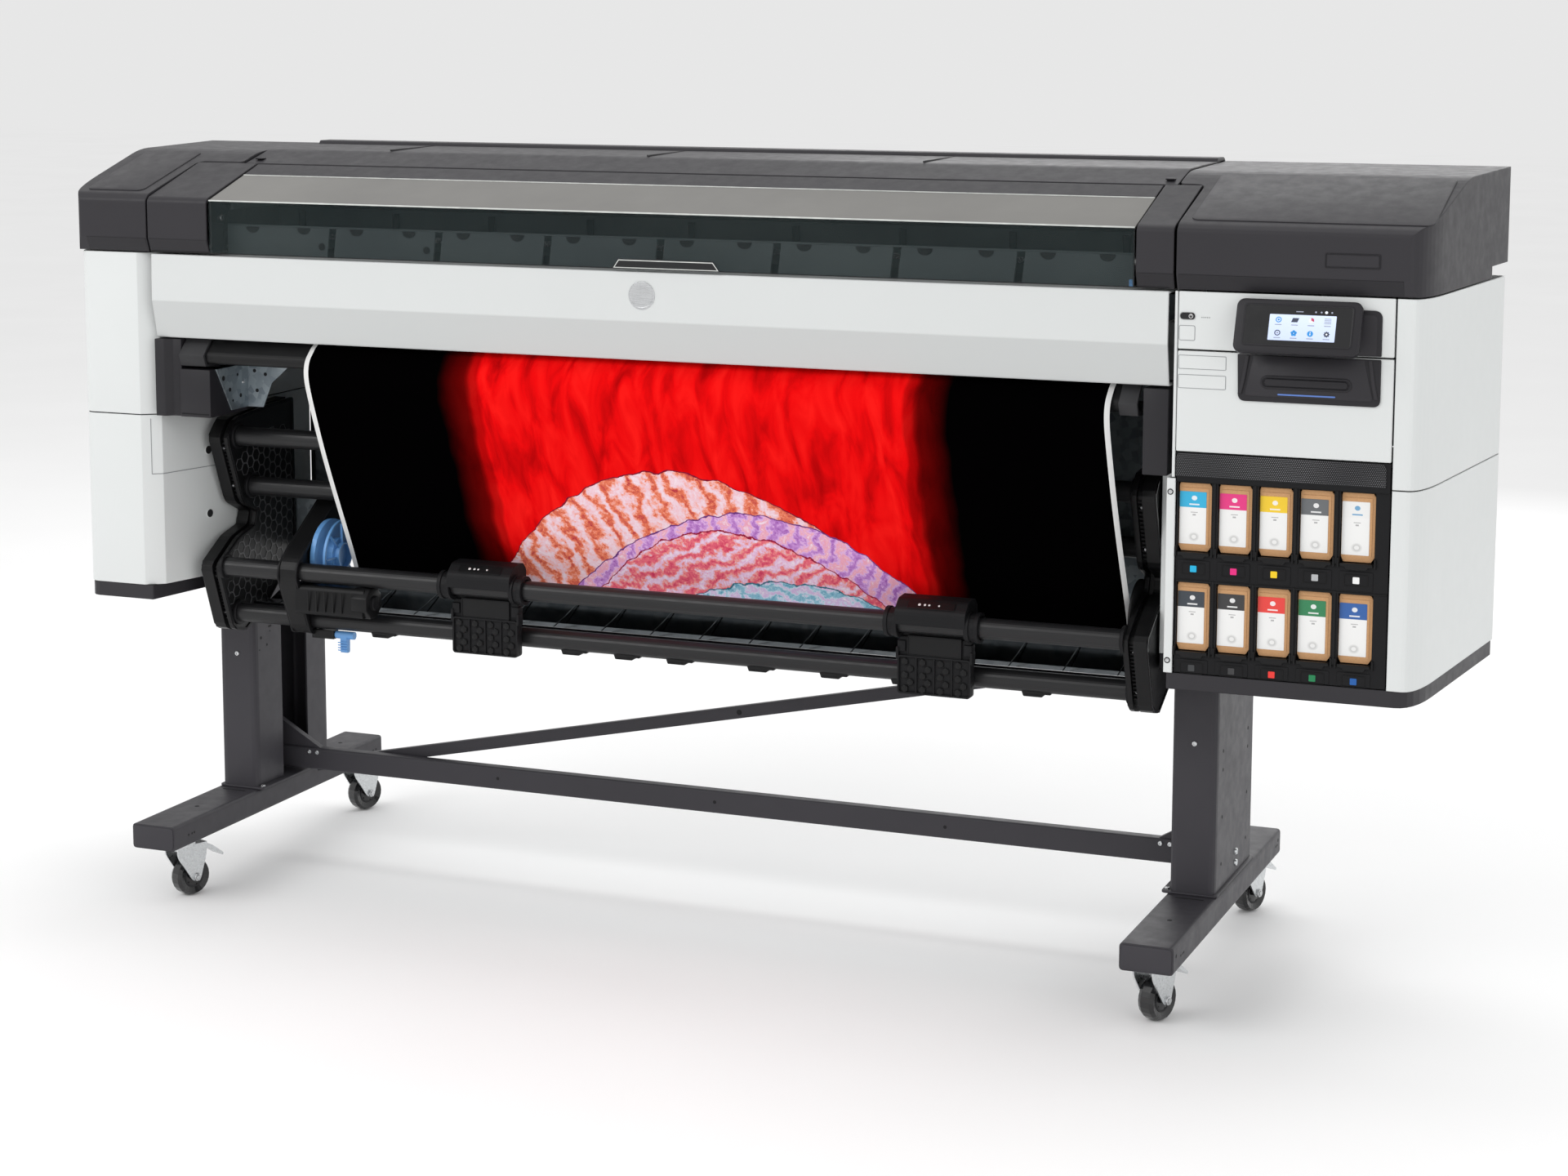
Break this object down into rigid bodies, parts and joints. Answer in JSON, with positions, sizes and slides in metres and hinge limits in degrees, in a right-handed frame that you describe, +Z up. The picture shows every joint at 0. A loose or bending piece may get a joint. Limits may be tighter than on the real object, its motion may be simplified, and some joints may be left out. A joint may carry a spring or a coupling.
{
  "type": "wide-format printer cutter",
  "caption": "Wide-format roll printer with a built-in cutter, glazed lid, touch screen and ink cartridge bay, on a wheeled stand.",
  "frame": {"origin": "on the floor, at the middle of the bounding box", "axes": "+X runs along the machine towards the ink bay, -Y is the front where the sheet comes out, +Z is up"},
  "size_m": [2.6208, 0.87, 1.458],
  "materials": {
    "white_cover": "fine-grained white moulding",
    "charcoal_cover": "fine-grained warm charcoal moulding",
    "stand_paint": "charcoal metallic powder coat",
    "black_plastic": "semi-gloss black moulding",
    "rail_tube": "satin dark grey tube",
    "zinc_steel": "bright zinc plating",
    "wheel_tread": "glossy black hard tread",
    "galvanised_steel": "spangled galvanised sheet",
    "smoked_window": "clear window with a faint smoke tint",
    "blue_plastic": "light blue moulding",
    "printed_film": "satin printed film",
    "ink_carton": "kraft board carton"
  },
  "bodies": {
    "base": {"left_foot": "stand_paint", "right_foot": "stand_paint", "left_post": "stand_paint", "right_post": "stand_paint", "cross_beam": "stand_paint", "diagonal_brace": "stand_paint", "roll_bracket_left": "black_plastic", "roll_bracket_right": "black_plastic", "media_tray": "black_plastic", "ink_bay": "black_plastic", "output_platen": "black_plastic", "left_base_tray": "charcoal_cover", "right_base_tray": "charcoal_cover", "left_end_cap": "charcoal_cover", "right_top_cover": "charcoal_cover", "left_hinge_cover": "charcoal_cover", "right_hinge_cover": "charcoal_cover", "rear_cover": "charcoal_cover", "left_lower_cover": "white_cover", "left_upper_cover": "white_cover", "right_lower_cover": "white_cover", "right_upper_cover": "white_cover", "front_panel": "white_cover", "control_panel": "white_cover", "chassis": "galvanised_steel", "upper_front_tube": "rail_tube", "upper_rear_tube": "rail_tube", "loader_rail": "rail_tube", "support_rail": "rail_tube", "media_sheet": "printed_film"},
    "fork_front_left": {"caster_fork_front_left": "zinc_steel"},
    "wheel_front_left": {"caster_wheel_front_left": "wheel_tread"},
    "fork_front_right": {"caster_fork_front_right": "zinc_steel"},
    "wheel_front_right": {"caster_wheel_front_right": "wheel_tread"},
    "fork_rear_left": {"caster_fork_rear_left": "zinc_steel"},
    "wheel_rear_left": {"caster_wheel_rear_left": "wheel_tread"},
    "fork_rear_right": {"caster_fork_rear_right": "zinc_steel"},
    "wheel_rear_right": {"caster_wheel_rear_right": "wheel_tread"},
    "window_lid": {"window_glass": "smoked_window", "window_frame": "charcoal_cover"},
    "screen": {"console": "charcoal_cover"},
    "door": {"service_door": "white_cover"},
    "button": {"power_button": "black_plastic"},
    "cartridge_matte_black": {"cartridge_matte_black": "ink_carton"},
    "cartridge_photo_black": {"cartridge_photo_black": "ink_carton"},
    "cartridge_red": {"cartridge_red": "ink_carton"},
    "cartridge_green": {"cartridge_green": "ink_carton"},
    "cartridge_blue": {"cartridge_blue": "ink_carton"},
    "cartridge_cyan": {"cartridge_cyan": "ink_carton"},
    "cartridge_magenta": {"cartridge_magenta": "ink_carton"},
    "cartridge_yellow": {"cartridge_yellow": "ink_carton"},
    "cartridge_grey": {"cartridge_grey": "ink_carton"},
    "cartridge_clear": {"cartridge_clear": "ink_carton"},
    "carriage": {"print_carriage": "black_plastic"},
    "cutter": {"cutter_carriage": "black_plastic"},
    "arm": {"sliding_arm": "black_plastic"},
    "hub": {"roll_hub": "blue_plastic"},
    "lever": {"lock_lever": "blue_plastic"},
    "loader_left": {"loading_aid_left": "black_plastic"},
    "loader_right": {"loading_aid_right": "black_plastic"}
  },
  "joints": [
    {"name": "swivel_front_left", "type": "hinge", "parent": "base", "child": "fork_front_left", "pos_m": [-1.12228, -0.34503, 0.107], "axis": [0, 0, 1], "continuous": true},
    {"name": "spin_front_left", "type": "hinge", "parent": "fork_front_left", "child": "wheel_front_left", "pos_m": [-1.11475, -0.32435, 0.0375], "axis": [0.9397, -0.342, 0], "continuous": true},
    {"name": "swivel_front_right", "type": "hinge", "parent": "base", "child": "fork_front_right", "pos_m": [0.82172, -0.34503, 0.107], "axis": [0, 0, 1], "continuous": true},
    {"name": "spin_front_right", "type": "hinge", "parent": "fork_front_right", "child": "wheel_front_right", "pos_m": [0.82925, -0.32435, 0.0375], "axis": [0.9397, -0.342, 0], "continuous": true},
    {"name": "swivel_rear_left", "type": "hinge", "parent": "base", "child": "fork_rear_left", "pos_m": [-1.12228, 0.34297, 0.107], "axis": [0, 0, 1], "continuous": true},
    {"name": "spin_rear_left", "type": "hinge", "parent": "fork_rear_left", "child": "wheel_rear_left", "pos_m": [-1.11475, 0.36365, 0.0375], "axis": [0.9397, -0.342, 0], "continuous": true},
    {"name": "swivel_rear_right", "type": "hinge", "parent": "base", "child": "fork_rear_right", "pos_m": [0.82172, 0.34297, 0.107], "axis": [0, 0, 1], "continuous": true},
    {"name": "spin_rear_right", "type": "hinge", "parent": "fork_rear_right", "child": "wheel_rear_right", "pos_m": [0.82925, 0.36365, 0.0375], "axis": [0.9397, -0.342, 0], "continuous": true},
    {"name": "window_hinge", "type": "hinge", "parent": "base", "child": "window_lid", "pos_m": [-0.10575, -0.21335, 1.416], "axis": [-1, 0, 0], "range_deg": [0, 75]},
    {"name": "screen_tilt", "type": "hinge", "parent": "base", "child": "screen", "pos_m": [1.06225, -0.38885, 1.248], "axis": [1, 0, 0], "range_deg": [-25, 5]},
    {"name": "service_door_hinge", "type": "hinge", "parent": "base", "child": "door", "pos_m": [1.03525, -0.38335, 0.998], "axis": [1, 0, 0], "range_deg": [0, 90]},
    {"name": "power_button_press", "type": "slide", "parent": "base", "child": "button", "axis": [0, 1, 0], "range_m": [0, 0.002], "stiffness_N_per_m": 400},
    {"name": "pull_out_matte_black", "type": "slide", "parent": "base", "child": "cartridge_matte_black", "axis": [0, -1, 0], "range_m": [0, 0.22]},
    {"name": "pull_out_photo_black", "type": "slide", "parent": "base", "child": "cartridge_photo_black", "axis": [0, -1, 0], "range_m": [0, 0.22]},
    {"name": "pull_out_red", "type": "slide", "parent": "base", "child": "cartridge_red", "axis": [0, -1, 0], "range_m": [0, 0.22]},
    {"name": "pull_out_green", "type": "slide", "parent": "base", "child": "cartridge_green", "axis": [0, -1, 0], "range_m": [0, 0.22]},
    {"name": "pull_out_blue", "type": "slide", "parent": "base", "child": "cartridge_blue", "axis": [0, -1, 0], "range_m": [0, 0.22]},
    {"name": "pull_out_cyan", "type": "slide", "parent": "base", "child": "cartridge_cyan", "axis": [0, -1, 0], "range_m": [0, 0.22]},
    {"name": "pull_out_magenta", "type": "slide", "parent": "base", "child": "cartridge_magenta", "axis": [0, -1, 0], "range_m": [0, 0.22]},
    {"name": "pull_out_yellow", "type": "slide", "parent": "base", "child": "cartridge_yellow", "axis": [0, -1, 0], "range_m": [0, 0.22]},
    {"name": "pull_out_grey", "type": "slide", "parent": "base", "child": "cartridge_grey", "axis": [0, -1, 0], "range_m": [0, 0.22]},
    {"name": "pull_out_clear", "type": "slide", "parent": "base", "child": "cartridge_clear", "axis": [0, -1, 0], "range_m": [0, 0.22]},
    {"name": "print_carriage_travel", "type": "slide", "parent": "base", "child": "carriage", "axis": [1, 0, 0], "range_m": [-1.84, 0]},
    {"name": "cutter_travel", "type": "slide", "parent": "base", "child": "cutter", "axis": [1, 0, 0], "range_m": [0, 1.78]},
    {"name": "arm_slide", "type": "slide", "parent": "base", "child": "arm", "axis": [1, 0, 0], "range_m": [-0.12, 0.02]},
    {"name": "hub_spin", "type": "hinge", "parent": "arm", "child": "hub", "pos_m": [-0.85275, -0.19635, 0.672], "axis": [1, 0, 0], "continuous": true},
    {"name": "lock_lever_turn", "type": "hinge", "parent": "arm", "child": "lever", "pos_m": [-0.80275, -0.24335, 0.526], "axis": [1, 0, 0], "range_deg": [0, 60]},
    {"name": "loader_slide_left", "type": "slide", "parent": "base", "child": "loader_left", "axis": [1, 0, 0], "range_m": [-0.1, 0.45]},
    {"name": "loader_slide_right", "type": "slide", "parent": "base", "child": "loader_right", "axis": [1, 0, 0], "range_m": [-0.2, 0.25]}
  ]
}
